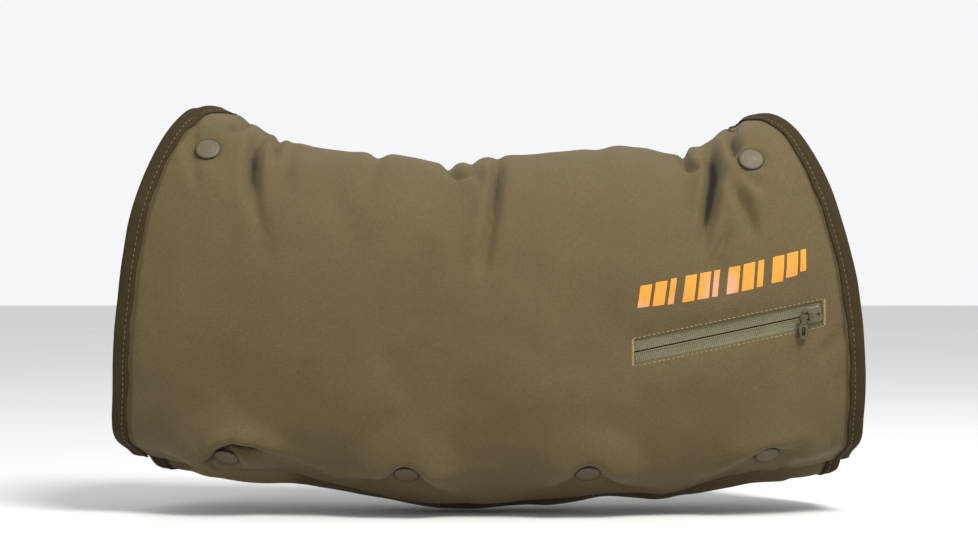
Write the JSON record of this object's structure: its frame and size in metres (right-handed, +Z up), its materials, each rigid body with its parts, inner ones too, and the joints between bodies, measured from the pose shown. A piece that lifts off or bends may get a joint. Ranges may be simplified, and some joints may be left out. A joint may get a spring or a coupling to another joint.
{
  "type": "hand warmer muff",
  "caption": "Padded fabric hand warmer muff: a wrapped tube with bound cuffs, snap-closed lower hems and a zipped front pocket.",
  "frame": {"origin": "centre of the hand channel, midway between the two cuffs", "axes": "+X along the tube towards the cuff with the zip, -Y towards the front face with the zip pocket, +Z up"},
  "size_m": [0.4292, 0.1443, 0.2311],
  "materials": {
    "shell_fabric": "matt brushed tricot, olive brown",
    "lining_fleece": "matt fleece, dark olive",
    "insulation": "white polyester wadding",
    "binding": "dark olive folded tape",
    "pocket_cloth": "thin plain weave",
    "zip_tape": "woven herringbone tape",
    "zip_coil": "nylon coil",
    "snap_cap": "satin olive enamel",
    "snap_metal": "plated, satin",
    "snap_spring": "phosphor bronze wire",
    "zip_metal": "satin olive enamel over zinc"
  },
  "bodies": {
    "back_panel": {"back_shell": "shell_fabric", "back_insulation": "insulation", "back_lining": "lining_fleece", "back_binding_left": "binding", "back_binding_right": "binding", "bottom_snap_studs": "snap_metal", "bottom_snap_posts": "snap_cap", "corner_snap_caps": "snap_cap", "corner_snap_sockets": "snap_metal", "corner_snap_springs": "snap_spring", "corner_snap_studs": "snap_metal", "corner_snap_posts": "snap_cap"},
    "front_panel": {"front_shell": "shell_fabric", "front_insulation": "insulation", "front_lining": "lining_fleece", "front_binding_left": "binding", "front_binding_right": "binding", "bottom_snap_caps": "snap_cap", "bottom_snap_sockets": "snap_metal", "bottom_snap_springs": "snap_spring", "zip_tape_upper": "zip_tape", "zip_tape_lower": "zip_tape", "zip_coil_upper": "zip_coil", "zip_coil_lower": "zip_coil", "zip_top_stops": "zip_metal", "zip_bottom_stop": "zip_metal", "pocket_bag": "pocket_cloth"},
    "slider": {"zip_slider": "zip_metal"},
    "pull_link": {"zip_pull_link": "zip_metal"},
    "pull_tab": {"zip_pull_tab": "zip_metal"}
  },
  "joints": [
    {"name": "front_open", "type": "hinge", "parent": "back_panel", "child": "front_panel", "pos_m": [0, -0.0455, 0.08], "axis": [-1, 0, 0], "range_deg": [0, 100]},
    {"name": "zip_slide", "type": "slide", "parent": "front_panel", "child": "slider", "axis": [-0.9698, -0.1433, -0.1973], "range_m": [0, 0.098]},
    {"name": "link_flip", "type": "hinge", "parent": "slider", "child": "pull_link", "pos_m": [0.17976, -0.04775, 0.0091], "axis": [-0.1941, -0.0358, 0.9803], "range_deg": [0, 150]},
    {"name": "tab_swing", "type": "hinge", "parent": "pull_link", "child": "pull_tab", "pos_m": [0.17569, -0.04835, 0.00827], "axis": [0.1475, -0.989, -0.0069], "range_deg": [-100, 20]}
  ]
}
